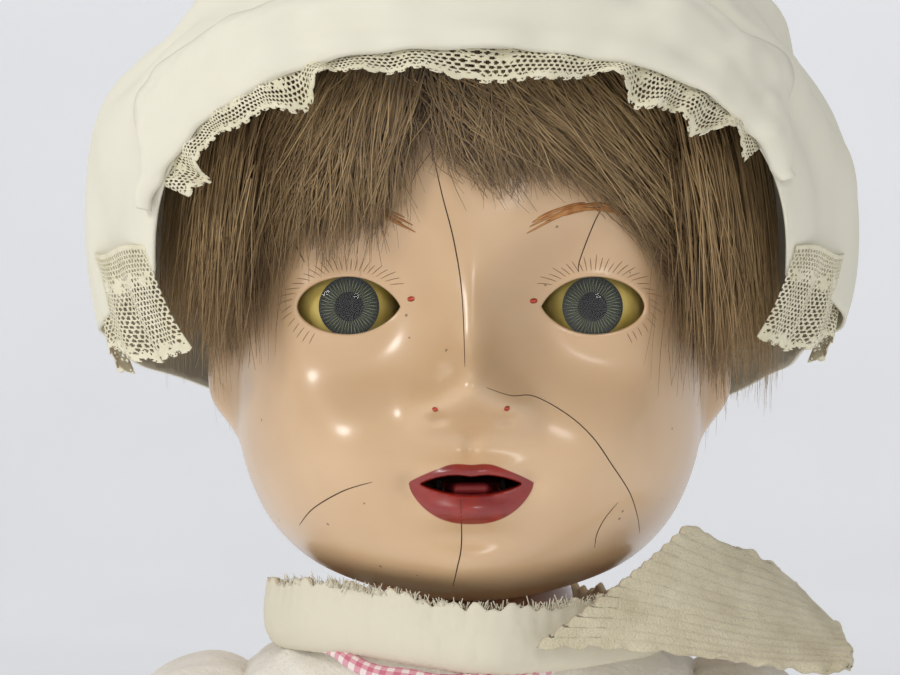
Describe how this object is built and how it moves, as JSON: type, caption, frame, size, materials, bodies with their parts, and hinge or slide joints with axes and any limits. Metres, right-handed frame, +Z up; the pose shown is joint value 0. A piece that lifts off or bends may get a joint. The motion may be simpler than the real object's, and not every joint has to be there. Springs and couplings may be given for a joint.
{
  "type": "porcelain doll",
  "caption": "Seated porcelain baby doll with sleep eyes, mohair wig, lace-trimmed bonnet, knitted scarf and flannel shirt on a strung, jointed body.",
  "frame": {"origin": "middle of the flat seat that the doll sits on", "axes": "+Z up, the doll faces -Y, its own left side is +X"},
  "size_m": [0.189, 0.2214, 0.37],
  "materials": {
    "porcelain": "glossy painted flesh glaze",
    "pate_board": "matt",
    "cap_cloth": "open weave",
    "mohair": "soft sheen",
    "plaster": "matt",
    "cork": "matt cork, as wood",
    "tooth_enamel": "gloss",
    "tin": "dull tin",
    "steel_wire": "drawn wire",
    "turned_wood": "turned beech",
    "bonnet_lawn": "thin cotton lawn",
    "lace": "cotton lace",
    "eye_white_glass": "opaque aged glass",
    "iris_glass": "threaded grey-green glass",
    "pupil_glass": "black glass",
    "clear_glass": "clear crystal",
    "lid_wax": "painted wax",
    "lead": "dull lead",
    "tongue_paint": "dark red enamel",
    "composition": "varnished flesh paint on composition",
    "elastic": "covered elastic",
    "flannel": "brushed flannel",
    "button_china": "gloss",
    "check_binding": "pink and white check",
    "scarf_knit": "ribbed cotton knit",
    "pants_cotton": "plain cotton",
    "cuff_cotton": "gathered cotton",
    "bootie_wool": "knitted wool"
  },
  "bodies": {
    "torso": {"torso_front": "composition", "torso_back": "composition", "neck_socket": "turned_wood", "arm_elastic": "elastic", "leg_elastic": "elastic", "shirt": "flannel", "shirt_buttons": "button_china", "neck_binding": "check_binding", "neck_scarf": "scarf_knit", "scarf_tail": "scarf_knit", "cloth_pants": "pants_cotton"},
    "head": {"head_shell": "porcelain", "crown_pate": "pate_board", "wig_cap": "cap_cloth", "wig": "mohair", "left_eye_bearing": "plaster", "right_eye_bearing": "plaster", "cork_stop": "cork", "upper_teeth": "tooth_enamel", "tongue_bracket": "tin", "tongue_pin": "steel_wire", "neck_plug": "turned_wood", "neck_hook": "steel_wire", "neck_washer": "steel_wire", "neck_nut": "steel_wire", "bonnet_crown": "bonnet_lawn", "bonnet_brim": "bonnet_lawn", "bonnet_lace": "lace", "left_lappet_lace": "lace", "right_lappet_lace": "lace"},
    "eyes": {"left_eye_globe": "eye_white_glass", "right_eye_globe": "eye_white_glass", "left_iris": "iris_glass", "right_iris": "iris_glass", "left_pupil": "pupil_glass", "right_pupil": "pupil_glass", "left_cornea": "clear_glass", "right_cornea": "clear_glass", "left_eyelid": "lid_wax", "right_eyelid": "lid_wax", "eye_rocker": "steel_wire", "eye_weight": "lead"},
    "tongue": {"tongue": "tongue_paint"},
    "left_arm": {"left_arm": "composition", "left_arm_hook": "steel_wire", "left_sleeve": "flannel", "left_cuff": "cuff_cotton"},
    "left_leg": {"left_leg": "composition", "left_leg_hook": "steel_wire", "left_bootie": "bootie_wool"},
    "right_arm": {"right_arm": "composition", "right_arm_hook": "steel_wire", "right_sleeve": "flannel", "right_cuff": "cuff_cotton"},
    "right_leg": {"right_leg": "composition", "right_leg_hook": "steel_wire", "right_bootie": "bootie_wool"}
  },
  "joints": [
    {"name": "head_swivel", "type": "hinge", "parent": "torso", "child": "head", "pos_m": [0, 0, 0.205], "axis": [0, 0, 1], "range_deg": [-60, 60]},
    {"name": "eye_roll", "type": "hinge", "parent": "head", "child": "eyes", "pos_m": [0, -0.02954, 0.278], "axis": [1, 0, 0], "range_deg": [0, 60]},
    {"name": "tongue_wobble", "type": "hinge", "parent": "head", "child": "tongue", "pos_m": [0, -0.0425, 0.2392], "axis": [1, 0, 0], "range_deg": [-5, 5]},
    {"name": "left_shoulder", "type": "hinge", "parent": "torso", "child": "left_arm", "pos_m": [0.056, 0, 0.178], "axis": [-1, 0, 0], "range_deg": [-30, 75]},
    {"name": "right_shoulder", "type": "hinge", "parent": "torso", "child": "right_arm", "pos_m": [-0.056, 0, 0.178], "axis": [-1, 0, 0], "range_deg": [-30, 75]},
    {"name": "left_hip", "type": "hinge", "parent": "torso", "child": "left_leg", "pos_m": [0.047, 0, 0.038], "axis": [-1, 0, 0], "range_deg": [-70, 25]},
    {"name": "right_hip", "type": "hinge", "parent": "torso", "child": "right_leg", "pos_m": [-0.047, 0, 0.038], "axis": [-1, 0, 0], "range_deg": [-70, 25]}
  ]
}
